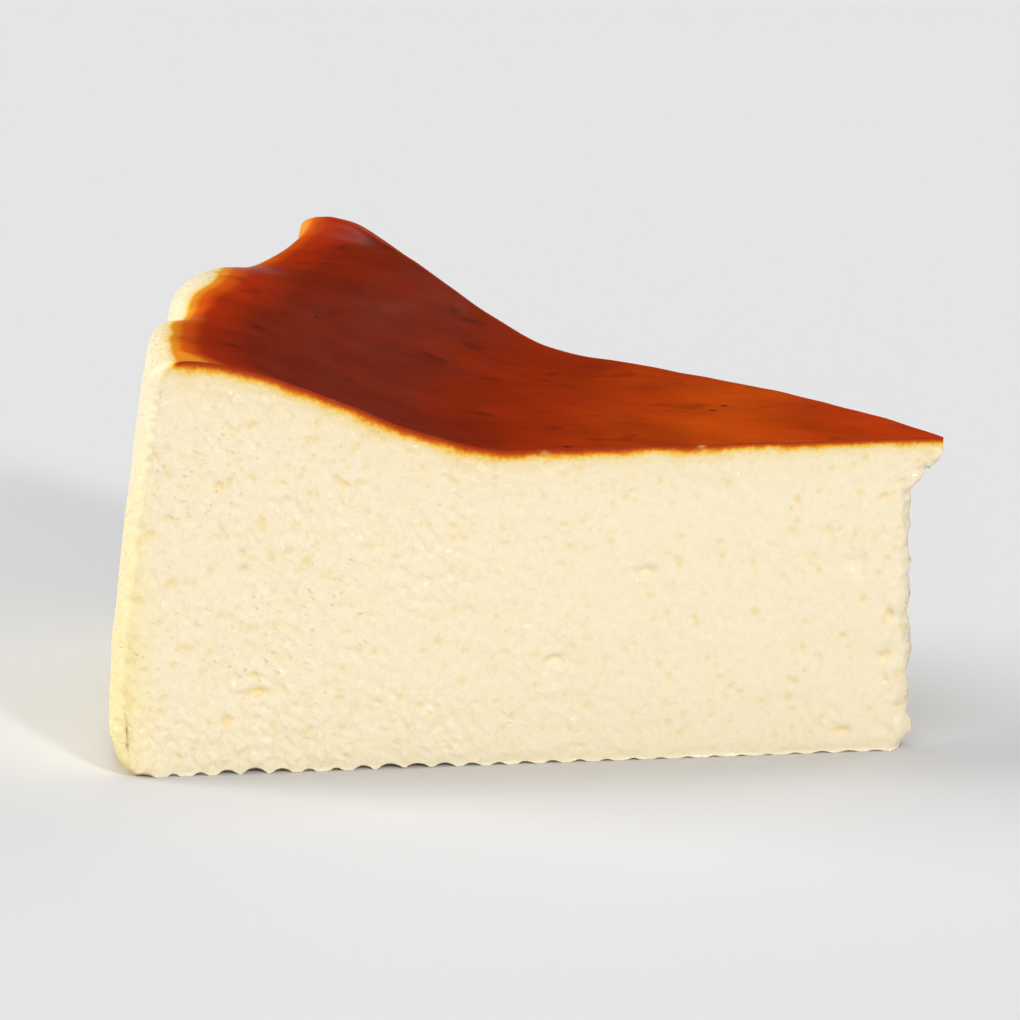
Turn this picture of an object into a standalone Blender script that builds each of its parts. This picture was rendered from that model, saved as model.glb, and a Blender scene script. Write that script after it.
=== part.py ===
"""One slice of a baked cheesecake with a browned top, an eighth of an 18 cm round, as one solid.

The slice is a box of grid faces, bent round the cake's axis. Its directions are named after the cake:
    out     0 at the tip, 1 at the outer wall
    across  0 at the front cut, 1 at the back cut
    up      0 at the underside, 1 at the browned top
The cake's axis stands at the tip's sharp end. The front cut faces -Y and the tip points to +X.
"""

import math

import bmesh
import bpy
from mathutils import Matrix, Vector, noise

MM = 0.001
NAME = "cheesecake_slice"

# The whole cake, an 18 cm round, and the cut: one of eight, a little narrow
CAKE_RADIUS = 88.9 * MM
SLICE_ANGLE = math.radians(43.5)

# The top: nearly level over the inner half, a little fuller to the back, then rising to the rim
TIP_HEIGHT = 34.2 * MM
FULLNESS_FRONT = 0.1 * MM
FULLNESS_BACK = 2.7 * MM
FULLNESS_REACH = 16 * MM
RIM_RISE = 10.9 * MM
RISE_STARTS_FRONT = 45 * MM
RISE_STARTS_BACK = 48 * MM
RISE_ENDS = 82.5 * MM
# Where the rim sags between the pleats of the baking paper:
# angle from the front cut, half width, depth, reach inwards
RIM_DIPS = (
    (math.radians(16), math.radians(3.0), 2.0 * MM, 4.5 * MM),
    (math.radians(36), math.radians(6.6), 2.7 * MM, 14 * MM),
)

# The outer wall: it leans in towards the top, and bulges between the pleats
WALL_LEAN = 4.1 * MM
LEAN_STARTS = 0.09
LEAN_POWER = 1.3
SHOULDER_RADIUS = 2.6 * MM
HEEL_RADIUS = 3.0 * MM
CORNER_RADIUS = 1.1 * MM
SWELL_FULL_AT = 0.5
# angle from the front cut, half width, swell at the middle of the wall, swell at its top
WALL_PLEATS = (
    (math.radians(17), math.radians(1.8), -0.2 * MM, -0.6 * MM),
    (math.radians(24), math.radians(2.8), 0.1 * MM, 0.5 * MM),
    (math.radians(32), math.radians(2.4), -0.4 * MM, -0.6 * MM),
    (math.radians(41), math.radians(4.5), 0.2 * MM, -0.9 * MM),
)

# The little lip where the browned skin curls up along the back cut, at the rim
LIP_RISE = 0.75 * MM
LIP_OVERHANG = 0.2 * MM
OVERHANG_STARTS_UP, OVERHANG_ENDS_UP = 0.90, 0.98
LIP_STARTS_ACROSS, LIP_FULL_ACROSS = 0.955, 0.985
LIP_STARTS_OUT, LIP_FULL_OUT = 0.84, 0.94
SHOULDER_LEFT_AT_LIP = 0.4

# The tip: below the browned skin it has broken away
TIP_LOSS_FRONT = 3.8 * MM
TIP_LOSS_BACK = 3.9 * MM
TIP_NOSE_RADIUS = 1.2 * MM
SKIN_TIP_LOSS = 0.15 * MM
SKIN_THICKNESS = 1.2 * MM
UNDERCUT_HEIGHT = 5.5 * MM
TIP_FOOT_LOSS = 0.8 * MM
TIP_FOOT_HEIGHT = 2.0 * MM

# The underside: shallow hollows, printed by what the cake cooled on, fading towards the tip
HOLLOW_PITCH = 2.9 * MM
HOLLOW_HALF_WIDTH = 0.95 * MM
HOLLOW_DEPTH = 0.5 * MM
HOLLOW_LEFT_AT_TIP = 0.3
# How unlike each other they are, and the steps between the draws of their size
HOLLOWS_DIFFER = 0.7
HOLLOW_DRAW_STEP, HOLLOW_DRAW_START = 0.37, 0.21

# Pits in the front cut: distance from the cake's axis, height, half width, half height, depth
CUT_PITS = (
    (32.0 * MM, 20.6 * MM, 0.9 * MM, 0.5 * MM, 1.1 * MM),
    (41.8 * MM, 11.3 * MM, 0.9 * MM, 0.5 * MM, 0.9 * MM),
    (9.7 * MM, 20.7 * MM, 1.5 * MM, 1.0 * MM, 0.5 * MM),
)
# How far in they are felt, as a share of the way to the back cut
CUT_PITS_REACH = 0.08

# Torn and crumbly relief: size of the crags and how far they stand out
CRAG_SIZE = 4.5 * MM
CRAG_DEPTH = 0.16 * MM
TIP_CRAG_SIZE = 2.1 * MM
TIP_CRAG_DEPTH = 0.75 * MM
TIP_CRAG_REACH = 9 * MM
TORN_CORNER_DEPTH = 0.5 * MM
TORN_CORNER_REACH = 11 * MM
TIP_CRAGS_BELOW_TOP = 1.5 * MM
TIP_CRAGS_BLEND = 2.0 * MM
CRAGS_FLOOR_BLEND = 1.5 * MM

# The grid before it is thinned, and the triangles that are kept
CUTS_OUT, CUTS_ACROSS, CUTS_UP = 235, 59, 71
CROWD_OUT, CROWD_ACROSS, CROWD_UP = 0.25, 0.45, 0.35
TRIANGLES = 10800
LAND_TOLERANCE = 0.04 * MM

# Colour, roughness and share of light scattered inside
CREAM = (0.93, 0.80, 0.55, 1.0), 0.45, 0.8
BROWNED = (0.24, 0.030, 0.004, 1.0), 0.3, 0.2
SCATTER_DEPTH = 4 * MM


def lerp(a, b, share):
    return a + (b - a) * share


def smooth(x):
    """0 below 0, 1 above 1 and an even S between."""
    x = min(max(x, 0.0), 1.0)
    return x * x * (3 - 2 * x)


def bump(x, centre, half_width):
    return math.exp(-(((x - centre) / half_width) ** 2))


def ramp_up(x, starts, ends):
    """0 up to where it starts, 1 from where it ends."""
    return smooth((x - starts) / (ends - starts))


def quarter_round(distance, radius):
    """How far a rounded edge has fallen away, distance in from where it ends."""
    short = max(0.0, 1.0 - distance / radius)
    return radius * (1.0 - math.sqrt(max(0.0, 1.0 - short * short)))


def crowded_ends(share, amount):
    """Evenly spaced shares, drawn towards 0 and 1 so that the edges get more of the grid."""
    return lerp(share, 0.5 - 0.5 * math.cos(math.pi * share), amount)


def lip(out, across):
    """1 on the curled corner of the skin, 0 elsewhere."""
    return ramp_up(out, LIP_STARTS_OUT, LIP_FULL_OUT) * ramp_up(across, LIP_STARTS_ACROSS, LIP_FULL_ACROSS)


def wall_radius(across, up):
    """The outer wall's distance from the cake's axis."""
    angle = across * SLICE_ANGLE
    radius = CAKE_RADIUS
    radius -= WALL_LEAN * max(0.0, (up - LEAN_STARTS) / (1 - LEAN_STARTS)) ** LEAN_POWER
    for centre, half_width, swell, swell_at_top in WALL_PLEATS:
        swell_here = lerp(swell * ramp_up(up, 0, SWELL_FULL_AT), swell_at_top, smooth(up))
        radius += swell_here * bump(angle, centre, half_width)
    from_cut = min(across, 1 - across) * SLICE_ANGLE * CAKE_RADIUS
    radius -= quarter_round(from_cut, CORNER_RADIUS)
    return radius + LIP_OVERHANG * lip(1, across) * ramp_up(up, OVERHANG_STARTS_UP, OVERHANG_ENDS_UP)


def tip_radius(across, up):
    """The broken tip's distance from the cake's axis."""
    height = up * TIP_HEIGHT
    below_skin = smooth((TIP_HEIGHT - SKIN_THICKNESS - height) / UNDERCUT_HEIGHT)
    loss = lerp(SKIN_TIP_LOSS, lerp(TIP_LOSS_FRONT, TIP_LOSS_BACK, across), below_skin)
    return loss + TIP_FOOT_LOSS * smooth(1 - height / TIP_FOOT_HEIGHT)


def nose_turn(radius, tip, across):
    """The angle by which the broken tip's upright edges are rounded towards its middle."""
    below_skin = smooth(tip / TIP_LOSS_FRONT)
    return below_skin * quarter_round(radius - tip, TIP_NOSE_RADIUS) * (1 - 2 * across) / radius


def top_height(radius, across):
    """The browned top, over a point that far from the cake's axis, before its edge is rounded."""
    angle = across * SLICE_ANGLE
    fullness = lerp(FULLNESS_FRONT, FULLNESS_BACK, across)
    starts = lerp(RISE_STARTS_FRONT, RISE_STARTS_BACK, across)
    height = TIP_HEIGHT + fullness * (1 - math.exp(-radius / FULLNESS_REACH))
    height += RIM_RISE * smooth((radius - starts) / (RISE_ENDS - starts))
    for centre, half_width, depth, reach in RIM_DIPS:
        near_rim = smooth(1 - (RISE_ENDS - radius) / reach)
        height -= depth * near_rim * bump(angle, centre, half_width)
    return height


def underside_height(x, radius):
    """The arched hollows that run from cut to cut. The lands between them stay level."""
    which, share = divmod(x / HOLLOW_PITCH, 1.0)
    size = 1 + HOLLOWS_DIFFER * noise.noise(Vector((which * HOLLOW_DRAW_STEP + HOLLOW_DRAW_START, 5.3, 0)))
    from_middle = abs(share - 0.5) * HOLLOW_PITCH
    fade = lerp(HOLLOW_LEFT_AT_TIP, 1.0, smooth(radius / CAKE_RADIUS))
    return HOLLOW_DEPTH * size * fade * max(0.0, 1 - (from_middle / (HOLLOW_HALF_WIDTH * size)) ** 2)


def pit_depth(radius, height, across):
    """How far the front cut sinks in at its pits."""
    near_cut = smooth(1 - across / CUT_PITS_REACH)
    depth = 0.0
    for pit_radius, pit_height, half_width, half_height, deepest in CUT_PITS:
        sideways = bump(radius, pit_radius, half_width)
        depth += deepest * sideways * bump(height, pit_height, half_height) * near_cut
    return depth


def crags(point, radius, height):
    """A small push in three directions: strong on the broken tip, weak on the cuts and none on the floor."""
    near_tip = smooth(1 - radius / TIP_CRAG_REACH)
    near_tip *= smooth((TIP_HEIGHT - TIP_CRAGS_BELOW_TOP - height) / TIP_CRAGS_BLEND)
    corner = Vector((-CAKE_RADIUS, 0, 0))
    near_corner = smooth(1 - (point - corner).length / TORN_CORNER_REACH)
    off_floor = smooth(height / CRAGS_FLOOR_BLEND)
    coarse = noise.noise_vector(point / CRAG_SIZE) * lerp(CRAG_DEPTH, TORN_CORNER_DEPTH, near_corner)
    fine = noise.noise_vector(point / TIP_CRAG_SIZE) * TIP_CRAG_DEPTH * near_tip
    return (coarse + fine) * off_floor


def slice_point(out, across, up):
    """The place on the slice of a point on the box."""
    tip = tip_radius(across, up)
    radius = lerp(tip, wall_radius(across, up), out)
    angle = across * SLICE_ANGLE + nose_turn(radius, tip, across)
    wall_top, wall_foot = wall_radius(across, 1), wall_radius(across, 0)
    radius_top = lerp(tip_radius(across, 1), wall_top, out)
    radius_foot = lerp(tip_radius(across, 0), wall_foot, out)
    curl = lip(out, across)
    top = top_height(radius_top, across) + LIP_RISE * curl
    top -= quarter_round(wall_top - radius_top, SHOULDER_RADIUS) * lerp(1, SHOULDER_LEFT_AT_LIP, curl)
    x = -radius * math.cos(angle)
    foot = underside_height(x, radius) + quarter_round(wall_foot - radius_foot, HEEL_RADIUS)
    height = lerp(foot, top, up)
    point = Vector((x, radius * math.sin(angle), height))
    point += crags(point, radius, height)
    point.y += pit_depth(radius, height, across)
    return point


def gridded_box():
    """A unit box whose faces are cut into a grid."""
    box = bmesh.new()
    bmesh.ops.create_cube(box, size=1.0, matrix=Matrix.Translation((0.5, 0.5, 0.5)))
    for axis, cuts in enumerate((CUTS_OUT, CUTS_ACROSS, CUTS_UP)):
        along = [e for e in box.edges if abs((e.verts[0].co - e.verts[1].co)[axis]) > 0.5]
        bmesh.ops.subdivide_edges(box, edges=along, cuts=cuts, use_grid_fill=True)
    return box


def slice_mesh():
    """The gridded box bent into the slice, with its top faces given the second material."""
    box = gridded_box()
    for face in box.faces:
        face.material_index = int(face.normal.z > 0.5)
        face.smooth = True
    for vertex in box.verts:
        out, across, up = vertex.co
        out = crowded_ends(out, CROWD_OUT)
        across = crowded_ends(across, CROWD_ACROSS)
        up = crowded_ends(up, CROWD_UP)
        vertex.co = slice_point(out, across, up)
    # "out" runs towards -X, which mirrors the box, so its faces are turned round.
    bmesh.ops.reverse_faces(box, faces=box.faces)
    mesh = bpy.data.meshes.new(NAME)
    box.to_mesh(mesh)
    box.free()
    return mesh


def thinned(cake):
    """A mesh of the slice with fewer triangles, whose lands are level again."""
    thin = cake.modifiers.new("Fewer triangles", "DECIMATE")
    thin.ratio = TRIANGLES / (2 * len(cake.data.polygons))
    mesh = bpy.data.meshes.new_from_object(cake.evaluated_get(bpy.context.evaluated_depsgraph_get()))
    cake.modifiers.remove(thin)
    for vertex in mesh.vertices:
        if vertex.co.z < LAND_TOLERANCE:
            vertex.co.z = 0
    return mesh


def stand_on_origin(mesh):
    """Moves the mesh so that the middle of its bounding box's underside is the origin."""
    low = Vector([min(v.co[i] for v in mesh.vertices) for i in range(3)])
    high = Vector([max(v.co[i] for v in mesh.vertices) for i in range(3)])
    middle = (low + high) / 2
    mesh.transform(Matrix.Translation((-middle.x, -middle.y, -low.z)))


def material(name, colour, roughness, subsurface):
    made = bpy.data.materials.new(name)
    made.use_nodes = True
    shader = made.node_tree.nodes["Principled BSDF"]
    shader.inputs["Base Color"].default_value = colour
    shader.inputs["Roughness"].default_value = roughness
    shader.inputs["Subsurface Weight"].default_value = subsurface
    shader.inputs["Subsurface Scale"].default_value = SCATTER_DEPTH
    made.diffuse_color = colour
    return made


def build():
    for old in list(bpy.data.objects):
        bpy.data.objects.remove(old)
    collection = bpy.data.collections.new("Cheesecake slice")
    bpy.context.scene.collection.children.link(collection)
    cake = bpy.data.objects.new(NAME, slice_mesh())
    collection.objects.link(cake)
    cake.data = thinned(cake)
    stand_on_origin(cake.data)
    cake.data.materials.clear()
    cake.data.materials.append(material("cheesecake_cream", *CREAM))
    cake.data.materials.append(material("browned_top", *BROWNED))


build()
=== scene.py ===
"""The slice of cheesecake as photographed: fine relief, baked colours, studio floor, lights and camera.

The slice is the same bent box as the part's solid, on a finer grid and with its small pits and grain:
    out     0 at the tip, 1 at the outer wall
    across  0 at the front cut, 1 at the back cut
    up      0 at the underside, 1 at the browned top
"""

import math
import random

import bmesh
import bpy
from mathutils import Matrix, Vector, kdtree, noise


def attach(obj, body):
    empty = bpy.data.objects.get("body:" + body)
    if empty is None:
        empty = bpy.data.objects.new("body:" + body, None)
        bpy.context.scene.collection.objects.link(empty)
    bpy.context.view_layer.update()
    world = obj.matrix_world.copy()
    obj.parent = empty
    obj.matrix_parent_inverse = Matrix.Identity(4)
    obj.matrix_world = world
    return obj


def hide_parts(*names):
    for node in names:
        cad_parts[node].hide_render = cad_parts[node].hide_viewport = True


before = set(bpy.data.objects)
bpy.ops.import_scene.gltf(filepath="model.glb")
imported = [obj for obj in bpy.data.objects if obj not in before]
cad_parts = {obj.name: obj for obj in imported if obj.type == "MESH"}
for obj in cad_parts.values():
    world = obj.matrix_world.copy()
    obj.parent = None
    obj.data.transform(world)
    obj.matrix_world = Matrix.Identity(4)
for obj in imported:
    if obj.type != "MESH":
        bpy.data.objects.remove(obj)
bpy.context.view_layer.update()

MM = 0.001

# The whole cake, an 18 cm round, and the cut: one of eight, a little narrow
CAKE_RADIUS = 88.9 * MM
SLICE_ANGLE = math.radians(43.5)
# Where the cake's axis stands in the part's own frame
CAKE_AXIS = Vector((44.499, -30.224, 0)) * MM

# The top: nearly level over the inner half, a little fuller to the back, then rising to the rim
TIP_HEIGHT = 34.2 * MM
FULLNESS_FRONT = 0.1 * MM
FULLNESS_BACK = 2.7 * MM
FULLNESS_REACH = 16 * MM
RIM_RISE = 10.9 * MM
RISE_STARTS_FRONT = 45 * MM
RISE_STARTS_BACK = 48 * MM
RISE_ENDS = 82.5 * MM
# Where the rim sags between the pleats of the baking paper:
# angle from the front cut, half width, depth, reach inwards
RIM_DIPS = (
    (math.radians(16), math.radians(3.0), 2.0 * MM, 4.5 * MM),
    (math.radians(36), math.radians(6.6), 2.7 * MM, 14 * MM),
)

# The outer wall: it leans in towards the top, and bulges between the pleats
WALL_LEAN = 4.1 * MM
LEAN_STARTS = 0.09
LEAN_POWER = 1.3
SHOULDER_RADIUS = 2.6 * MM
HEEL_RADIUS = 3.0 * MM
CORNER_RADIUS = 1.1 * MM
SWELL_FULL_AT = 0.5
# angle from the front cut, half width, swell at the middle of the wall, swell at its top
WALL_PLEATS = (
    (math.radians(17), math.radians(1.8), -0.2 * MM, -0.6 * MM),
    (math.radians(24), math.radians(2.8), 0.1 * MM, 0.5 * MM),
    (math.radians(32), math.radians(2.4), -0.4 * MM, -0.6 * MM),
    (math.radians(41), math.radians(4.5), 0.2 * MM, -0.9 * MM),
)

# The little lip where the browned skin curls up along the back cut, at the rim
LIP_RISE = 0.75 * MM
LIP_OVERHANG = 0.2 * MM
OVERHANG_STARTS_UP, OVERHANG_ENDS_UP = 0.90, 0.98
LIP_STARTS_ACROSS, LIP_FULL_ACROSS = 0.955, 0.985
LIP_STARTS_OUT, LIP_FULL_OUT = 0.84, 0.94
SHOULDER_LEFT_AT_LIP = 0.4

# The tip: below the browned skin it has broken away
TIP_LOSS_FRONT = 3.8 * MM
TIP_LOSS_BACK = 3.9 * MM
TIP_NOSE_RADIUS = 1.2 * MM
SKIN_TIP_LOSS = 0.15 * MM
SKIN_THICKNESS = 1.2 * MM
UNDERCUT_HEIGHT = 5.5 * MM
TIP_FOOT_LOSS = 0.8 * MM
TIP_FOOT_HEIGHT = 2.0 * MM

# The underside: shallow hollows, printed by what the cake cooled on, fading towards the tip
HOLLOW_PITCH = 2.9 * MM
HOLLOW_HALF_WIDTH = 0.95 * MM
HOLLOW_DEPTH = 0.5 * MM
HOLLOW_LEFT_AT_TIP = 0.3
# How unlike each other they are, and the steps between the draws of their size
HOLLOWS_DIFFER = 0.7
HOLLOW_DRAW_STEP, HOLLOW_DRAW_START = 0.37, 0.21

# Pits in the front cut: distance from the cake's axis, height, half width, half height, depth
CUT_PITS = (
    (32.0 * MM, 20.6 * MM, 0.9 * MM, 0.5 * MM, 1.1 * MM),
    (41.8 * MM, 11.3 * MM, 0.9 * MM, 0.5 * MM, 0.9 * MM),
    (9.7 * MM, 20.7 * MM, 1.5 * MM, 1.0 * MM, 0.5 * MM),
)
# How far in they are felt, as a share of the way to the back cut
CUT_PITS_REACH = 0.08

# Torn and crumbly relief: size of the crags and how far they stand out
CRAG_SIZE = 4.5 * MM
CRAG_DEPTH = 0.16 * MM
TIP_CRAG_SIZE = 2.1 * MM
TIP_CRAG_DEPTH = 0.75 * MM
TIP_CRAG_REACH = 9 * MM
TORN_CORNER_DEPTH = 0.5 * MM
TORN_CORNER_REACH = 11 * MM
TIP_CRAGS_BELOW_TOP = 1.5 * MM
TIP_CRAGS_BLEND = 2.0 * MM
CRAGS_FLOOR_BLEND = 1.5 * MM

# The grid, before the faces of the front cut and the top are cut in four once more
CUTS_OUT, CUTS_ACROSS, CUTS_UP = 145, 44, 78
CROWD_OUT, CROWD_ACROSS, CROWD_UP = 0.25, 0.45, 0.35

# Fine relief of the cuts: grain that is coarse at the rim and smooth at the tip
GRAIN_SIZE = 0.8 * MM
GRAIN_STRETCH = 1.6
GRAIN_LEAN = math.radians(58)
GRAIN_DEPTH_RIM = 0.38 * MM
GRAIN_DEPTH_TIP = 0.14 * MM
GRAIN_BELOW_SKIN = 1.6 * MM
# A finer grain lies over it, and both grow and shrink in wide patches
FINER_GRAIN = 2.1
FINER_GRAIN_SHARE = 0.5
GRAIN_PATCH_RATE = 0.12
GRAIN_PATCH_MIDDLE, GRAIN_PATCH_VARIES = 0.7, 0.6

# Small pits drawn at random over the front cut, closer together and deeper near the rim
PIT_SEED = 4
PIT_COUNT = 420
PIT_CROWDING = 1.6
PIT_FARTHEST_OUT = 0.985
PIT_HEIGHTS_MM = (1.5, 42)
PIT_WIDTHS_MM = (0.18, 0.34)
# Length and depth as shares of the width
PIT_LENGTHS = (1.0, 1.7)
PIT_DEPTHS = (0.4, 0.9)
PIT_DEPTH_LEFT_AT_TIP = 0.6
PIT_LEAN, PIT_LEAN_SPREAD = math.radians(-25), math.radians(40)
# How near the cut's own points a dent has to lie, and how many of its lengths away it is felt
DENT_SEARCH = 1.5 * MM
DENT_FELT = 2.2

# Crumbs that stand out of the broken tip and along the upright edge at the rim
CRUMB_SIZE = 1.0 * MM
FINE_CRUMB_SIZE = 0.45 * CRUMB_SIZE
FINE_CRUMB_SHARE = 0.35
CRUMB_DEPTH_TIP = 0.5 * MM
CRUMB_DEPTH_EDGE = 0.24 * MM
CRUMB_REACH_TIP = 9 * MM
CRUMB_REACH_EDGE = 2.5 * MM
CRUMBLED_CORNER = Vector((-CAKE_RADIUS, 0, 3 * MM))
CRUMBLED_CORNER_REACH = 7 * MM
CRUMB_DEPTH_CORNER = 0.2 * MM
CRUMBS_BELOW_SKIN = 0.8 * MM
CRUMBS_SKIN_BLEND = 1.5 * MM
CRUMBS_FLOOR_BLEND = 0.6 * MM
# One crumb stands out of the rim's edge: where, how far and how wide
NUB = Vector((-88.4, 0, 24.5)) * MM
NUB_PUSH = Vector((-1.0, -0.2, 0)) * MM
NUB_SIZE = 0.8 * MM

# The foot of the cuts draws back a little above what the cake stood on
FOOT_HEIGHT = 1.5 * MM
FOOT_DEPTH = 0.25 * MM
FOOT_FLOOR_BLEND = 0.3 * MM
FOOT_PATCH = 2.5 * MM
FOOT_EVENNESS = 0.6

# Single dents in the front cut: radius, height, half length, half width, lean from level, depth
FRONT_DENTS = (
    (61.2 * MM, 36.7 * MM, 0.35 * MM, 0.28 * MM, 0.3, 0.5 * MM),
    (63.2 * MM, 35.2 * MM, 0.95 * MM, 0.30 * MM, 0.9, 0.3 * MM),
    (6.3 * MM, 28.0 * MM, 0.7 * MM, 0.4 * MM, 0.2, 0.4 * MM),
    (5.9 * MM, 15.1 * MM, 0.6 * MM, 0.45 * MM, 1.2, 0.5 * MM),
    (10.8 * MM, 12.8 * MM, 0.4 * MM, 0.3 * MM, 0.0, 0.3 * MM),
    (6.3 * MM, 10.5 * MM, 0.7 * MM, 0.5 * MM, 0.4, 0.5 * MM),
    (10.9 * MM, 2.4 * MM, 0.8 * MM, 0.4 * MM, 0.0, 0.5 * MM),
    (77.0 * MM, 6.0 * MM, 0.6 * MM, 0.5 * MM, 0.3, 0.4 * MM),
    (73.5 * MM, 9.0 * MM, 1.4 * MM, 0.35 * MM, 0.1, 0.35 * MM),
    (75.0 * MM, 22.5 * MM, 0.35 * MM, 0.3 * MM, 0.0, 0.45 * MM),
)

# Brown ends short of the rim along the front part of the wall, and shortest at a lobe of cream
BROWN_ENDS = 81.8 * MM
CREAM_LOBE_ANGLE = math.radians(23)
CREAM_LOBE_HALF_WIDTH = math.radians(3.5)
CREAM_LOBE_REACH = 1.2 * MM
BROWN_ENDS_ANGLE = math.radians(27.5)
BROWN_FADE_ANGLE = math.radians(5.0)
BROWN_FADE_WANDERS = math.radians(4.0)
BROWN_WANDERS = 0.35 * MM
# How closely these ends wander: per radian round the wall, and over depth
BROWN_WANDER_RATE = 25
BROWN_FADE_RATE = 30
BROWN_FADE_PATCH = 1.5 * MM
# How steeply the browning fades beyond its end, and how steeply at the lobe
FADE_STEEPNESS, LOBE_STEEPNESS = 1.1, 1.4
# Along the back part the brown goes on over the shoulder
SHOULDER_BROWN = 1.6 * MM
# Down the wall the browning is thinner than down the cuts, and patchy
WALL_BAKE_THINNER = 1.7
WALL_BAKE_VARIES = 0.9
WALL_BAKE_RATE = 16
WALL_BAKE_PATCH = 7 * MM
WALL_BAKE_BLEND = 1 * MM
# Near the front cut the skin is as pale as it is that much nearer its end
CORNER_GLOW = 2.5 * MM
CORNER_GLOW_REACH = 5 * MM

# Colours in 8-bit sRGB: the crust on the cuts, from the skin down into the cream
CRUST_DEPTH_MM = 5.0
CRUST_COLOURS = (
    (0.000, (150, 42, 1)),
    (0.050, (178, 64, 1)),
    (0.085, (208, 104, 4)),
    (0.120, (230, 158, 30)),
    (0.150, (238, 194, 84)),
    (0.200, (240, 211, 144)),
    (0.280, (243, 223, 176)),
    (0.430, (246, 230, 193)),
    (1.000, (247, 233, 200)),
)
# The skin from above, from its end at the rim to the tip
SKIN_LENGTH = 82 * MM
SKIN_COLOURS = (
    (0.000, (228, 140, 34)),
    (0.014, (202, 80, 8)),
    (0.040, (158, 40, 3)),
    (0.110, (120, 31, 4)),
    (0.260, (118, 31, 4)),
    (0.360, (132, 35, 3)),
    (0.460, (146, 40, 2)),
    (0.570, (162, 52, 2)),
    (0.700, (174, 64, 2)),
    (0.860, (168, 52, 2)),
    (1.000, (160, 44, 2)),
)
WALL_CREAM = (250, 230, 146)
# Painted shade in the hollows of the crumb's grain
HOLLOW_SHADE_CREAM = (238, 212, 150)
# Painted shade in pits and under the slice
PIT_SHADE_TAN = (236, 200, 108)
# Painted shade inside the skin's pinholes
PINHOLE_SHADE_BROWN = (60, 12, 4)

# How the skin's streaks are turned about the vertical, and the crumb's lumps about the Y axis
SKIN_TURN = (0, 0, math.radians(-20))
CRUMB_TURN = (0, math.radians(25), 0)
# From the rim to the tip, and how far in from the wall the cream is yellower
RIM_TO_TIP = 85 * MM
WALL_GLOW_REACH = 5 * MM
LUMP_SIZE = 0.8 * MM
SKIN_ROUGHNESS = 0.38
BUMP_HEIGHT = 0.24 * MM

# Camera, as the photograph was taken: towards the front cut, from a little to the left and above
TARGET = CAKE_AXIS + Vector((-46.65, 0, 27.90)) * MM
CAMERA_DISTANCE = 1.3
CAMERA_ELEVATION = math.radians(14)
CAMERA_LEFT = math.radians(7.97)
SENSOR = 36.0
LENS = 433.6

# Distant lamps: name, azimuth, elevation and how wide they look, in degrees, and strength
LAMPS = (
    ("key", -71, 27, 7, 1.2),
    ("side", 160, 26, 30, 2.3),
    ("fill", -105, 38, 60, 1.3),
    ("behind", 100, 78, 30, 0.8),
    ("back", 32, 24, 40, 0.9),
)
# The light of the backdrop near the horizon and higher up, and the colour that the camera sees
AMBIENT_COLOUR = (0.93, 0.95, 1.0, 1)
AMBIENT_LOW, AMBIENT_HIGH = 0.22, 0.004
AMBIENT_LOW_ENDS, AMBIENT_HIGH_STARTS = 0.02, 0.14
BACKDROP_COLOUR = (0.77, 0.78, 0.79, 1)
FLOOR_COLOUR = (0.70, 0.70, 0.707, 1)
FLOOR_HALF_SIZE = 6.0
# The floor lies just below the slice, so that the two faces don't meet
FLOOR_DROP = 0.02 * MM

# A place this near the end of a box's side, as a share, lies on its edge
ON_EDGE = 1e-6


def lerp(a, b, share):
    return a + (b - a) * share


def smooth(x):
    """0 below 0, 1 above 1 and an even S between."""
    x = min(max(x, 0.0), 1.0)
    return x * x * (3 - 2 * x)


def bump(x, centre, half_width):
    return math.exp(-(((x - centre) / half_width) ** 2))


def ramp_up(x, starts, ends):
    """0 up to where it starts, 1 from where it ends."""
    return smooth((x - starts) / (ends - starts))


def quarter_round(distance, radius):
    """How far a rounded edge has fallen away, distance in from where it ends."""
    short = max(0.0, 1.0 - distance / radius)
    return radius * (1.0 - math.sqrt(max(0.0, 1.0 - short * short)))


def crowded_ends(share, amount):
    """Evenly spaced shares, drawn towards 0 and 1 so that the edges get more of the grid."""
    return lerp(share, 0.5 - 0.5 * math.cos(math.pi * share), amount)


def lip(out, across):
    """1 on the curled corner of the skin, 0 elsewhere."""
    return ramp_up(out, LIP_STARTS_OUT, LIP_FULL_OUT) * ramp_up(across, LIP_STARTS_ACROSS, LIP_FULL_ACROSS)


def wall_radius(across, up):
    """The outer wall's distance from the cake's axis."""
    angle = across * SLICE_ANGLE
    radius = CAKE_RADIUS
    radius -= WALL_LEAN * max(0.0, (up - LEAN_STARTS) / (1 - LEAN_STARTS)) ** LEAN_POWER
    for centre, half_width, swell, swell_at_top in WALL_PLEATS:
        swell_here = lerp(swell * ramp_up(up, 0, SWELL_FULL_AT), swell_at_top, smooth(up))
        radius += swell_here * bump(angle, centre, half_width)
    from_cut = min(across, 1 - across) * SLICE_ANGLE * CAKE_RADIUS
    radius -= quarter_round(from_cut, CORNER_RADIUS)
    return radius + LIP_OVERHANG * lip(1, across) * ramp_up(up, OVERHANG_STARTS_UP, OVERHANG_ENDS_UP)


def tip_radius(across, up):
    """The broken tip's distance from the cake's axis."""
    height = up * TIP_HEIGHT
    below_skin = smooth((TIP_HEIGHT - SKIN_THICKNESS - height) / UNDERCUT_HEIGHT)
    loss = lerp(SKIN_TIP_LOSS, lerp(TIP_LOSS_FRONT, TIP_LOSS_BACK, across), below_skin)
    return loss + TIP_FOOT_LOSS * smooth(1 - height / TIP_FOOT_HEIGHT)


def nose_turn(radius, tip, across):
    """The angle by which the broken tip's upright edges are rounded towards its middle."""
    below_skin = smooth(tip / TIP_LOSS_FRONT)
    return below_skin * quarter_round(radius - tip, TIP_NOSE_RADIUS) * (1 - 2 * across) / radius


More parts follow.
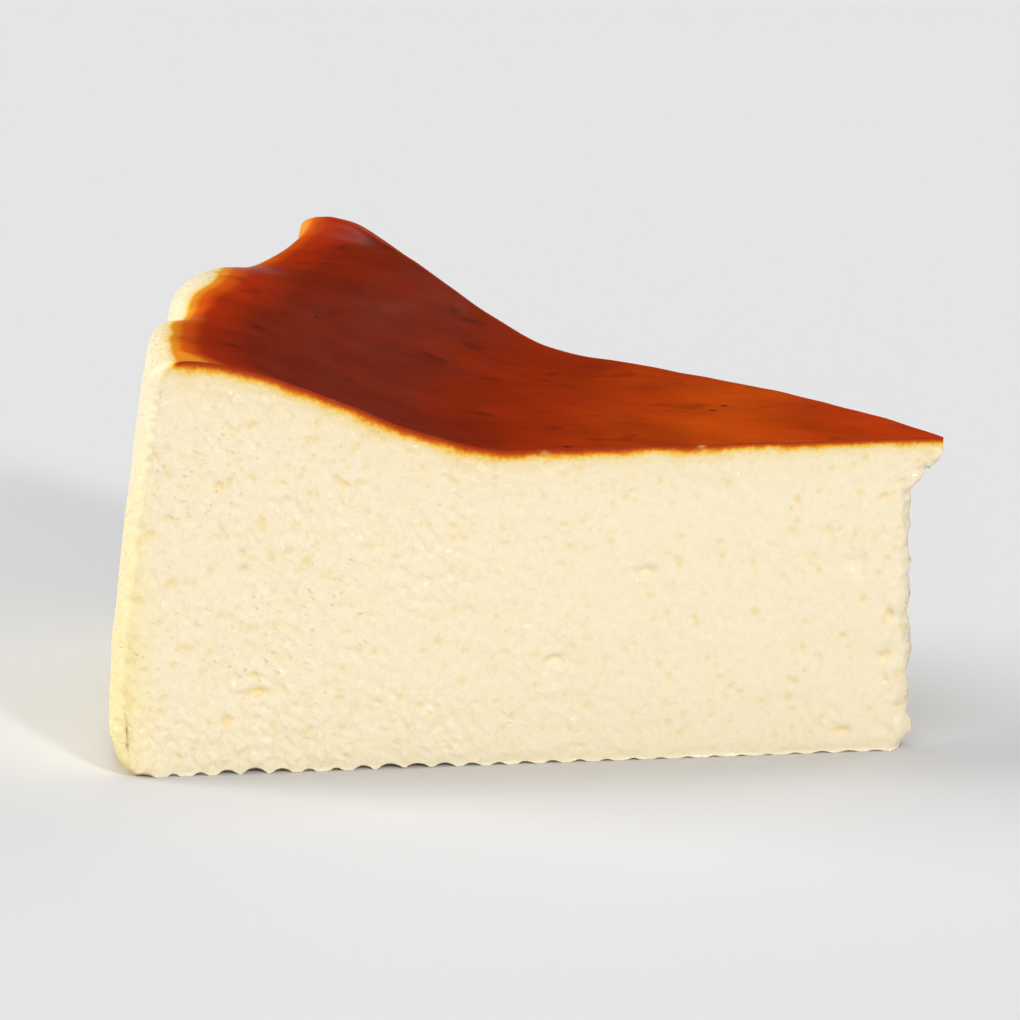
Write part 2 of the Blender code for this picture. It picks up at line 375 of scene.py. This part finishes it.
def top_height(radius, across):
    """The browned top, over a point that far from the cake's axis, before its edge is rounded."""
    angle = across * SLICE_ANGLE
    fullness = lerp(FULLNESS_FRONT, FULLNESS_BACK, across)
    starts = lerp(RISE_STARTS_FRONT, RISE_STARTS_BACK, across)
    height = TIP_HEIGHT + fullness * (1 - math.exp(-radius / FULLNESS_REACH))
    height += RIM_RISE * smooth((radius - starts) / (RISE_ENDS - starts))
    for centre, half_width, depth, reach in RIM_DIPS:
        near_rim = smooth(1 - (RISE_ENDS - radius) / reach)
        height -= depth * near_rim * bump(angle, centre, half_width)
    return height


def underside_height(x, radius):
    """The arched hollows that run from cut to cut. The lands between them stay level."""
    which, share = divmod(x / HOLLOW_PITCH, 1.0)
    size = 1 + HOLLOWS_DIFFER * noise.noise(Vector((which * HOLLOW_DRAW_STEP + HOLLOW_DRAW_START, 5.3, 0)))
    from_middle = abs(share - 0.5) * HOLLOW_PITCH
    fade = lerp(HOLLOW_LEFT_AT_TIP, 1.0, smooth(radius / CAKE_RADIUS))
    return HOLLOW_DEPTH * size * fade * max(0.0, 1 - (from_middle / (HOLLOW_HALF_WIDTH * size)) ** 2)


def pit_depth(radius, height, across):
    """How far the front cut sinks in at its pits."""
    near_cut = smooth(1 - across / CUT_PITS_REACH)
    depth = 0.0
    for pit_radius, pit_height, half_width, half_height, deepest in CUT_PITS:
        sideways = bump(radius, pit_radius, half_width)
        depth += deepest * sideways * bump(height, pit_height, half_height) * near_cut
    return depth


def crags(point, radius, height):
    """A small push in three directions: strong on the broken tip, weak on the cuts and none on the floor."""
    near_tip = smooth(1 - radius / TIP_CRAG_REACH)
    near_tip *= smooth((TIP_HEIGHT - TIP_CRAGS_BELOW_TOP - height) / TIP_CRAGS_BLEND)
    corner = Vector((-CAKE_RADIUS, 0, 0))
    near_corner = smooth(1 - (point - corner).length / TORN_CORNER_REACH)
    off_floor = smooth(height / CRAGS_FLOOR_BLEND)
    coarse = noise.noise_vector(point / CRAG_SIZE) * lerp(CRAG_DEPTH, TORN_CORNER_DEPTH, near_corner)
    fine = noise.noise_vector(point / TIP_CRAG_SIZE) * TIP_CRAG_DEPTH * near_tip
    return (coarse + fine) * off_floor


def slice_point(out, across, up):
    """The place on the slice of a point on the box, its depth below the top and its radius."""
    tip = tip_radius(across, up)
    radius = lerp(tip, wall_radius(across, up), out)
    angle = across * SLICE_ANGLE + nose_turn(radius, tip, across)
    wall_top, wall_foot = wall_radius(across, 1), wall_radius(across, 0)
    radius_top = lerp(tip_radius(across, 1), wall_top, out)
    radius_foot = lerp(tip_radius(across, 0), wall_foot, out)
    curl = lip(out, across)
    top = top_height(radius_top, across) + LIP_RISE * curl
    top -= quarter_round(wall_top - radius_top, SHOULDER_RADIUS) * lerp(1, SHOULDER_LEFT_AT_LIP, curl)
    x = -radius * math.cos(angle)
    foot = underside_height(x, radius) + quarter_round(wall_foot - radius_foot, HEEL_RADIUS)
    height = lerp(foot, top, up)
    point = Vector((x, radius * math.sin(angle), height))
    point += crags(point, radius, height)
    point.y += pit_depth(radius, height, across)
    return point, top - height, radius


def grain(point, radius):
    """How far the fine grain of a cut stands out."""
    along = Vector((math.cos(GRAIN_LEAN), 0, -math.sin(GRAIN_LEAN)))
    aside = Vector((math.sin(GRAIN_LEAN), 0, math.cos(GRAIN_LEAN)))
    flat = Vector((point.dot(along) / GRAIN_STRETCH, 0, point.dot(aside))) / GRAIN_SIZE
    coarse = noise.noise(flat)
    fine = noise.noise(flat * FINER_GRAIN + Vector((7, 3, 5)))
    patches = noise.noise(flat * GRAIN_PATCH_RATE + Vector((2, 9, 4)))
    patchy = GRAIN_PATCH_MIDDLE + GRAIN_PATCH_VARIES * patches
    depth = lerp(GRAIN_DEPTH_TIP, GRAIN_DEPTH_RIM, smooth(radius / CAKE_RADIUS))
    return (coarse + FINER_GRAIN_SHARE * fine) * patchy * depth


def crumbs(point, depth, radius, across):
    """A push in three directions where the slice has crumbled: at the tip and down the edge at the rim."""
    below_skin = smooth((depth - CRUMBS_BELOW_SKIN) / CRUMBS_SKIN_BLEND)
    below_skin *= smooth(point.z / CRUMBS_FLOOR_BLEND)
    at_tip = smooth(1 - radius / CRUMB_REACH_TIP) * CRUMB_DEPTH_TIP
    to_edge = math.hypot(CAKE_RADIUS - radius, min(across, 1 - across) * SLICE_ANGLE * CAKE_RADIUS)
    at_edge = smooth(1 - to_edge / CRUMB_REACH_EDGE) * CRUMB_DEPTH_EDGE
    coarse = noise.noise_vector(point / CRUMB_SIZE)
    fine = noise.noise_vector(point / FINE_CRUMB_SIZE) * FINE_CRUMB_SHARE
    at_corner = smooth(1 - (point - CRUMBLED_CORNER).length / CRUMBLED_CORNER_REACH) * CRUMB_DEPTH_CORNER
    nub = NUB_PUSH * bump((point - NUB).length, 0, NUB_SIZE)
    return (coarse + fine) * (at_tip + at_edge + at_corner) * below_skin + nub


def brown_end(angle):
    """The radius at which the browned skin ends on the rim's shoulder."""
    lobe = CREAM_LOBE_REACH * bump(angle, CREAM_LOBE_ANGLE, CREAM_LOBE_HALF_WIDTH)
    return BROWN_ENDS - lobe + BROWN_WANDERS * noise.noise(Vector((angle * BROWN_WANDER_RATE, 1, 2)))


def baked_depth(depth, radius, angle):
    """Depth below the browned skin, with the cream shoulder of the rim counted as deep."""
    place = Vector((depth / BROWN_FADE_PATCH, angle * BROWN_FADE_RATE, 3))
    wander = BROWN_FADE_WANDERS * noise.noise(place)
    cream_part = smooth((BROWN_ENDS_ANGLE + BROWN_FADE_ANGLE / 2 - angle + wander) / BROWN_FADE_ANGLE)
    at_lobe = bump(angle, CREAM_LOBE_ANGLE, CREAM_LOBE_HALF_WIDTH)
    steepness = lerp(FADE_STEEPNESS, LOBE_STEEPNESS, at_lobe)
    beyond = max(0.0, radius - brown_end(angle)) * steepness * cream_part
    on_wall = smooth((radius - BROWN_ENDS) / WALL_BAKE_BLEND)
    place = Vector((angle * WALL_BAKE_RATE, depth / WALL_BAKE_PATCH, 8))
    patchy = 1 + WALL_BAKE_VARIES * noise.noise(place)
    return math.hypot(depth * lerp(1, WALL_BAKE_THINNER * patchy, on_wall), beyond)


def skin_reach(point, radius, angle):
    """How far in from its end the browned skin is, less near the corner where it is paler."""
    near_cut = smooth(1 - point.y / CORNER_GLOW_REACH)
    over_shoulder = smooth((angle - BROWN_ENDS_ANGLE) / BROWN_FADE_ANGLE) * SHOULDER_BROWN
    return max(0.0, brown_end(angle) + over_shoulder - radius - CORNER_GLOW * near_cut)


def on_long_edge(place):
    """True on the box's four edges along out, where the cuts meet the top and the underside."""
    return all(min(share, 1 - share) < ON_EDGE for share in (place.y, place.z))


def gridded_box():
    """A unit box whose faces are cut into a grid, finer on the front cut and the top."""
    box = bmesh.new()
    bmesh.ops.create_cube(box, size=1.0, matrix=Matrix.Translation((0.5, 0.5, 0.5)))
    for axis, cuts in enumerate((CUTS_OUT, CUTS_ACROSS, CUTS_UP)):
        along = [e for e in box.edges if abs((e.verts[0].co - e.verts[1].co)[axis]) > 0.5]
        bmesh.ops.subdivide_edges(box, edges=along, cuts=cuts, use_grid_fill=True)
    box.normal_update()
    shown = [f for f in box.faces if f.normal.y < -0.5 or f.normal.z > 0.5]
    edges = list({e for f in shown for e in f.edges})
    bmesh.ops.subdivide_edges(box, edges=edges, cuts=1, use_grid_fill=True)
    for edge in box.edges:
        edge.smooth = not all(on_long_edge(vertex.co) for vertex in edge.verts)
    return box


def slice_mesh():
    """The gridded box bent into the slice, with attributes that the material reads."""
    box = gridded_box()
    rows = []
    outward_back = Vector((math.sin(SLICE_ANGLE), math.cos(SLICE_ANGLE), 0))
    for face in box.faces:
        face.smooth = True
    for vertex in box.verts:
        out, across, up = vertex.co
        front, back = across < ON_EDGE, across > 1 - ON_EDGE
        across = crowded_ends(across, CROWD_ACROSS)
        point, depth, radius = slice_point(crowded_ends(out, CROWD_OUT), across, crowded_ends(up, CROWD_UP))
        angle = across * SLICE_ANGLE
        rows.append(
            (
                baked_depth(depth, radius, angle),
                CAKE_RADIUS - radius,
                float(front or back),
                skin_reach(point, radius, angle),
                float(front),
                # The underside, short of its edges, is marked for the painted tan shade under the slice
                float(up < ON_EDGE and 0 < out < 1 and not front and not back),
            )
        )
        if front or back:
            relief = grain(point, radius) * smooth(depth / GRAIN_BELOW_SKIN) * smooth(point.z / FOOT_HEIGHT)
            uneven = FOOT_EVENNESS + noise.noise(point / FOOT_PATCH)
            drawn_back = FOOT_DEPTH * smooth(1 - point.z / FOOT_HEIGHT) * uneven
            relief -= drawn_back * smooth(point.z / FOOT_FLOOR_BLEND)
            point += (Vector((0, -1, 0)) if front else outward_back) * relief
        point += crumbs(point, depth, radius, across)
        vertex.co = point
    # "out" runs towards -X, which mirrors the box, so its faces are turned round.
    bmesh.ops.reverse_faces(box, faces=box.faces)
    mesh = bpy.data.meshes.new("cheesecake_dressed")
    box.to_mesh(mesh)
    box.free()
    for index, name in enumerate(("bake_depth", "from_rim", "cut", "skin_reach", "front_cut", "painted_shade")):
        values = mesh.attributes.new(name, "FLOAT", "POINT")
        values.data.foreach_set("value", [row[index] for row in rows])
    return mesh


def sink_dent(mesh, tree, centre, length, width, lean, depth):
    """Pushes one dent into the front cut and marks it for the painted tan shade in the material."""
    nearest = tree.find(centre)
    if nearest[0] is None or nearest[2] > DENT_SEARCH:
        return
    centre.y = nearest[0].y
    along = Vector((math.cos(lean), 0, math.sin(lean)))
    aside = Vector((-math.sin(lean), 0, math.cos(lean)))
    painted_shade = mesh.attributes["painted_shade"].data
    for co, index, _ in tree.find_range(centre, DENT_FELT * length):
        offset = co - centre
        share = bump(offset.dot(along), 0, length) * bump(offset.dot(aside), 0, width)
        mesh.vertices[index].co.y += depth * share
        painted_shade[index].value = min(1.0, painted_shade[index].value + share)


def sink_pits(mesh):
    """The dents that show in the photograph, and small pits that lie closer together near the rim."""
    draw = random.Random(PIT_SEED)
    front = mesh.attributes["front_cut"].data
    tree = kdtree.KDTree(len(mesh.vertices))
    for vertex in mesh.vertices:
        if front[vertex.index].value > 0.5:
            tree.insert(vertex.co, vertex.index)
    tree.balance()
    for radius, height, length, width, lean, depth in FRONT_DENTS:
        sink_dent(mesh, tree, Vector((-radius, 0, height)), length, width, lean, depth)
    for _ in range(PIT_COUNT):
        radius = CAKE_RADIUS * (1 - draw.random() ** PIT_CROWDING) * PIT_FARTHEST_OUT
        height = draw.uniform(*PIT_HEIGHTS_MM) * MM
        width = draw.uniform(*PIT_WIDTHS_MM) * MM
        length = width * draw.uniform(*PIT_LENGTHS)
        depth = width * draw.uniform(*PIT_DEPTHS) * lerp(PIT_DEPTH_LEFT_AT_TIP, 1.0, radius / CAKE_RADIUS)
        lean = draw.gauss(PIT_LEAN, PIT_LEAN_SPREAD)
        sink_dent(mesh, tree, Vector((-radius, 0, height)), length, width, lean, depth)


def nodes_of(material):
    material.use_nodes = True
    tree = material.node_tree
    return tree, tree.nodes["Principled BSDF"]


def ramp(tree, source, stops):
    """A colour ramp over stops of (position, 8-bit sRGB colour)."""
    node = tree.nodes.new("ShaderNodeValToRGB")
    node.color_ramp.interpolation = "EASE"
    elements = node.color_ramp.elements
    while len(elements) > 1:
        elements.remove(elements[-1])
    for index, (position, colour) in enumerate(stops):
        element = elements[0] if index == 0 else elements.new(position)
        element.position = position
        element.color = (*srgb(*colour), 1.0)
    tree.links.new(source, node.inputs["Fac"])
    return node


def srgb(red, green, blue):
    """Linear colour of an 8-bit sRGB one."""
    shares = (red / 255, green / 255, blue / 255)
    return tuple(c / 12.92 if c <= 0.04045 else ((c + 0.055) / 1.055) ** 2.4 for c in shares)


def math_node(tree, operation, *values, clamp=False):
    """A Math node over sockets or numbers, and its result."""
    node = tree.nodes.new("ShaderNodeMath")
    node.operation = operation
    node.use_clamp = clamp
    for socket, value in zip(node.inputs, values):
        if isinstance(value, (int, float)):
            socket.default_value = value
        else:
            tree.links.new(value, socket)
    return node.outputs[0]


def map_range(tree, value, low, high, to_low, to_high):
    node = tree.nodes.new("ShaderNodeMapRange")
    tree.links.new(value, node.inputs["Value"])
    for name, number in (("From Min", low), ("From Max", high), ("To Min", to_low), ("To Max", to_high)):
        node.inputs[name].default_value = number
    return node.outputs["Result"]


def product(tree, first, second):
    return math_node(tree, "MULTIPLY", first, second)


def in_units(tree, place, size, stretch, turn):
    """The place in units of that size in metres, longer along the stretched axes."""
    mapping = tree.nodes.new("ShaderNodeMapping")
    mapping.vector_type = "TEXTURE"
    mapping.inputs["Rotation"].default_value = turn
    mapping.inputs["Scale"].default_value = [size * s for s in stretch]
    tree.links.new(place, mapping.inputs["Vector"])
    return mapping.outputs["Vector"]


def noise_at(tree, place, size, detail=3.0, stretch=(1, 1, 1), turn=(0, 0, 0)):
    """Noise whose features are about that size in metres, longer along the stretched axes."""
    units = in_units(tree, place, size, stretch, turn)
    node = tree.nodes.new("ShaderNodeTexNoise")
    node.inputs["Scale"].default_value = 1.0
    node.inputs["Detail"].default_value = detail
    tree.links.new(units, node.inputs["Vector"])
    return node.outputs["Fac"]


def mix_colours(tree, share, first, second):
    node = tree.nodes.new("ShaderNodeMix")
    node.data_type = "RGBA"
    sockets = {"Factor": share, "A": first, "B": second}
    inputs = {s.name: s for s in node.inputs if s.enabled}
    for name, value in sockets.items():
        if isinstance(value, tuple):
            inputs[name].default_value = (*value, 1.0)
        elif isinstance(value, (int, float)):
            inputs[name].default_value = value
        else:
            tree.links.new(value, inputs[name])
    return next(s for s in node.outputs if s.enabled)


def scaled_colour(tree, colour, factor):
    node = tree.nodes.new("ShaderNodeVectorMath")
    node.operation = "SCALE"
    tree.links.new(colour, node.inputs[0])
    tree.links.new(factor, node.inputs["Scale"])
    return node.outputs["Vector"]


def attribute(tree, name):
    node = tree.nodes.new("ShaderNodeAttribute")
    node.attribute_name = name
    return node.outputs["Fac"]


def cells(tree, place, size, stretch=(1, 1, 1), turn=(0, 0, 0)):
    """Distance to the nearest of scattered points, in cells, and a random number for each cell."""
    units = in_units(tree, place, size, stretch, turn)
    node = tree.nodes.new("ShaderNodeTexVoronoi")
    node.inputs["Scale"].default_value = 1.0
    tree.links.new(units, node.inputs["Vector"])
    part = tree.nodes.new("ShaderNodeSeparateColor")
    tree.links.new(node.outputs["Color"], part.inputs[0])
    return node.outputs["Distance"], part.outputs[0]


def tiny_pits(tree, place, size, radius, share, stretch=(1, 1, 1), turn=(0, 0, 0)):
    """1 inside small round pits, in that share of the cells, 0 between them."""
    distance, pick = cells(tree, place, size, stretch, turn)
    inside = map_range(tree, distance, radius * 0.45, radius, 1.0, 0.0)
    chosen = map_range(tree, pick, share, share + 0.02, 1.0, 0.0)
    return product(tree, inside, chosen)


def skin_colour(tree, place, reach):
    """The browned skin from above: pale at the rim, darkest on the slope, orange towards the tip."""
    streaks = noise_at(tree, place, 1.3 * MM, 1.0, stretch=(3.5, 0.8, 1), turn=SKIN_TURN)
    smudges = noise_at(tree, place, 8 * MM, 2.0, stretch=(1.7, 0.8, 1), turn=SKIN_TURN)
    spots = noise_at(tree, place, 2.6 * MM, 1.0, stretch=(1.6, 0.9, 1))
    share = math_node(tree, "DIVIDE", reach, SKIN_LENGTH, clamp=True)
    trend = ramp(tree, share, SKIN_COLOURS).outputs["Color"]
    streaky = map_range(tree, streaks, 0.3, 0.7, 0.92, 1.08)
    smudged = map_range(tree, smudges, 0.3, 0.7, 0.84, 1.16)
    shade = product(tree, streaky, smudged)
    dark_spots = map_range(tree, spots, 0.28, 0.36, 0.75, 1.0)
    return scaled_colour(tree, trend, product(tree, shade, dark_spots))


def cake_material():
    material = bpy.data.materials.new("baked_cheesecake")
    tree, shader = nodes_of(material)
    place = tree.nodes.new("ShaderNodeTexCoord").outputs["Object"]
    from_rim = attribute(tree, "from_rim")
    in_mm = math_node(tree, "DIVIDE", attribute(tree, "bake_depth"), 1 * MM)
    off_cut = math_node(tree, "SUBTRACT", 1.0, attribute(tree, "cut"))
    towards_rim = map_range(tree, from_rim, 0.0, RIM_TO_TIP, 1.0, 0.0)

    # The browning follows depth below the skin, uneven along the edge. Off the cuts it starts from orange
    uneven = noise_at(tree, place, 3.0 * MM)
    fine = noise_at(tree, place, 0.45 * MM)
    thick = map_range(tree, uneven, 0.3, 0.7, 0.8, 1.3)
    thick = product(tree, thick, map_range(tree, towards_rim, 0.0, 1.0, 0.85, 1.4))
    gritty = map_range(tree, fine, 0.3, 0.7, 0.85, 1.18)
    scaled = math_node(tree, "DIVIDE", product(tree, in_mm, gritty), thick)
    share = math_node(tree, "DIVIDE", scaled, CRUST_DEPTH_MM)
    share = math_node(tree, "ADD", share, product(tree, off_cut, 0.1), clamp=True)
    edge = ramp(tree, share, CRUST_COLOURS).outputs["Color"]
    on_skin = product(tree, map_range(tree, in_mm, 0.0, 0.6, 1.0, 0.0), off_cut)
    skin = skin_colour(tree, place, attribute(tree, "skin_reach"))
    baked = mix_colours(tree, on_skin, edge, skin)

    # The cream is yellower near the wall. Pits, the underside and the hollows of the grain get a warm tan as
    # painted shade
    near_wall = map_range(tree, from_rim, 0.0, WALL_GLOW_REACH, 1.0, 0.0)
    deep = map_range(tree, in_mm, 1.0, 4.0, 0.0, 1.0)
    wall_share = product(tree, product(tree, near_wall, deep), 0.65)
    yellowed = mix_colours(tree, wall_share, baked, srgb(*WALL_CREAM))
    off_skin = map_range(tree, in_mm, 0.4, 1.8, 0.0, 1.0)
    flecks = noise_at(tree, place, 0.6 * MM, 1.0, stretch=(1.2, 1, 0.9), turn=CRUMB_TURN)
    patches = noise_at(tree, place, 9 * MM, 1.0)
    pits = map_range(tree, flecks, 0.66, 0.76, 0.0, 1.0)
    pits = product(tree, pits, map_range(tree, patches, 0.42, 0.62, 0.1, 1.0))
    pits = product(tree, pits, product(tree, off_skin, towards_rim))
    pit_shade = math_node(tree, "MAXIMUM", attribute(tree, "painted_shade"), pits)
    lumps = noise_at(tree, place, LUMP_SIZE, 2.0, stretch=(1, 1, 1.5), turn=CRUMB_TURN)
    painted_hollow_shade = product(tree, map_range(tree, lumps, 0.34, 0.56, 0.16, 0.0), off_skin)
    shaded = mix_colours(tree, painted_hollow_shade, yellowed, srgb(*HOLLOW_SHADE_CREAM))
    crumb = mix_colours(tree, product(tree, pit_shade, 0.5), shaded, srgb(*PIT_SHADE_TAN))

    # A few pinholes in the skin, sunk by the bump and painted dark brown inside as painted shade
    holes = tiny_pits(tree, place, 3.6 * MM, 0.09, 0.6, stretch=(1.8, 1, 1), turn=SKIN_TURN)
    holes = product(tree, holes, on_skin)
    final = mix_colours(tree, product(tree, holes, 0.7), crumb, srgb(*PINHOLE_SHADE_BROWN))
    tree.links.new(final, shader.inputs["Base Color"])

    # Satin skin, moist crumb
    damp = noise_at(tree, place, 0.5 * MM, 2.0)
    crumb_rough = map_range(tree, damp, 0.36, 0.54, 0.18, 0.62)
    rough = tree.nodes.new("ShaderNodeMix")
    rough.data_type = "FLOAT"
    tree.links.new(on_skin, rough.inputs[0])
    tree.links.new(crumb_rough, rough.inputs[2])
    rough.inputs[3].default_value = SKIN_ROUGHNESS
    tree.links.new(rough.outputs[0], shader.inputs["Roughness"])
    tree.links.new(map_range(tree, in_mm, 0.8, 2.5, 0.16, 0.45), shader.inputs["Specular IOR Level"])

    # The finest grain, stronger towards the rim, and the faint wrinkles of the skin
    tiny = noise_at(tree, place, 0.3 * MM, 2.0)
    grains = math_node(tree, "ADD", product(tree, tiny, 0.25), lumps)
    grains = product(tree, grains, map_range(tree, towards_rim, 0.0, 1.0, 0.35, 1.0))
    relief = math_node(tree, "SUBTRACT", grains, product(tree, pits, 0.35))
    relief = product(tree, relief, map_range(tree, off_cut, 0.0, 1.0, 1.0, 0.5))
    relief = product(tree, relief, map_range(tree, in_mm, 0.1, 1.6, 0.08, 1.0))
    relief = math_node(tree, "SUBTRACT", relief, product(tree, holes, 0.8))
    finest = tree.nodes.new("ShaderNodeBump")
    finest.inputs["Distance"].default_value = BUMP_HEIGHT
    finest.inputs["Strength"].default_value = 1.0
    tree.links.new(relief, finest.inputs["Height"])
    tree.links.new(finest.outputs["Normal"], shader.inputs["Normal"])
    return material


def floor_material():
    material = bpy.data.materials.new("pale_floor")
    tree, shader = nodes_of(material)
    shader.inputs["Base Color"].default_value = FLOOR_COLOUR
    shader.inputs["Roughness"].default_value = 1.0
    shader.inputs["Specular IOR Level"].default_value = 0.0
    return material


def make_floor():
    """A plain pale floor, wide enough to fill every view."""
    mesh = bpy.data.meshes.new("studio_floor")
    sides = ((-1, -1), (1, -1), (1, 1), (-1, 1))
    corners = [(x * FLOOR_HALF_SIZE, y * FLOOR_HALF_SIZE, 0) for x, y in sides]
    mesh.from_pydata(corners, [], [(0, 1, 2, 3)])
    floor = bpy.data.objects.new("studio_floor", mesh)
    bpy.context.scene.collection.objects.link(floor)
    floor.location.z = -FLOOR_DROP
    mesh.materials.append(floor_material())


def studio_lamp(name, azimuth, elevation, softness, strength):
    """A distant soft lamp: its direction and how wide it looks, in degrees, and its strength."""
    lamp = bpy.data.lights.new(name, "SUN")
    lamp.angle = math.radians(softness)
    lamp.energy = strength
    holder = bpy.data.objects.new(name, lamp)
    bpy.context.scene.collection.objects.link(holder)
    azimuth, elevation = math.radians(azimuth), math.radians(elevation)
    level = math.cos(elevation)
    away = Vector((math.cos(azimuth) * level, math.sin(azimuth) * level, math.sin(elevation)))
    holder.rotation_euler = away.to_track_quat("Z", "Y").to_euler()


def make_world():
    """A pale backdrop for the camera. The slice itself is lit by it only near the horizon."""
    world = bpy.data.worlds.new("studio")
    bpy.context.scene.world = world
    world.use_nodes = True
    tree = world.node_tree
    dim = tree.nodes["Background"]
    dim.inputs["Color"].default_value = AMBIENT_COLOUR
    upwards = tree.nodes.new("ShaderNodeSeparateXYZ")
    tree.links.new(tree.nodes.new("ShaderNodeTexCoord").outputs["Generated"], upwards.inputs[0])
    rise = upwards.outputs["Z"]
    strength = map_range(tree, rise, AMBIENT_LOW_ENDS, AMBIENT_HIGH_STARTS, AMBIENT_LOW, AMBIENT_HIGH)
    tree.links.new(strength, dim.inputs["Strength"])
    pale = tree.nodes.new("ShaderNodeBackground")
    pale.inputs["Color"].default_value = BACKDROP_COLOUR
    choose = tree.nodes.new("ShaderNodeMixShader")
    tree.links.new(tree.nodes.new("ShaderNodeLightPath").outputs["Is Camera Ray"], choose.inputs["Fac"])
    tree.links.new(dim.outputs[0], choose.inputs[1])
    tree.links.new(pale.outputs[0], choose.inputs[2])
    tree.links.new(choose.outputs[0], tree.nodes["World Output"].inputs["Surface"])


def light_scene():
    make_world()
    for lamp in LAMPS:
        studio_lamp(*lamp)


def place_camera():
    camera = bpy.data.cameras.new("camera")
    camera.sensor_width = SENSOR
    camera.lens = LENS
    holder = bpy.data.objects.new("camera", camera)
    bpy.context.scene.collection.objects.link(holder)
    level = math.cos(CAMERA_ELEVATION)
    away = Vector(
        (
            -math.sin(CAMERA_LEFT) * level,
            -math.cos(CAMERA_LEFT) * level,
            math.sin(CAMERA_ELEVATION),
        )
    )
    holder.location = TARGET + away * CAMERA_DISTANCE
    holder.rotation_euler = away.to_track_quat("Z", "Y").to_euler()
    bpy.context.scene.camera = holder


def main():
    view = bpy.context.scene.view_settings
    view.view_transform = "Standard"
    place_camera()
    mesh = slice_mesh()
    sink_pits(mesh)
    mesh.transform(Matrix.Translation(CAKE_AXIS))
    slice_ = bpy.data.objects.new("cheesecake_dressed", mesh)
    bpy.context.scene.collection.objects.link(slice_)
    mesh.materials.append(cake_material())
    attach(slice_, "root")
    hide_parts("cheesecake_slice")
    make_floor()
    light_scene()


main()
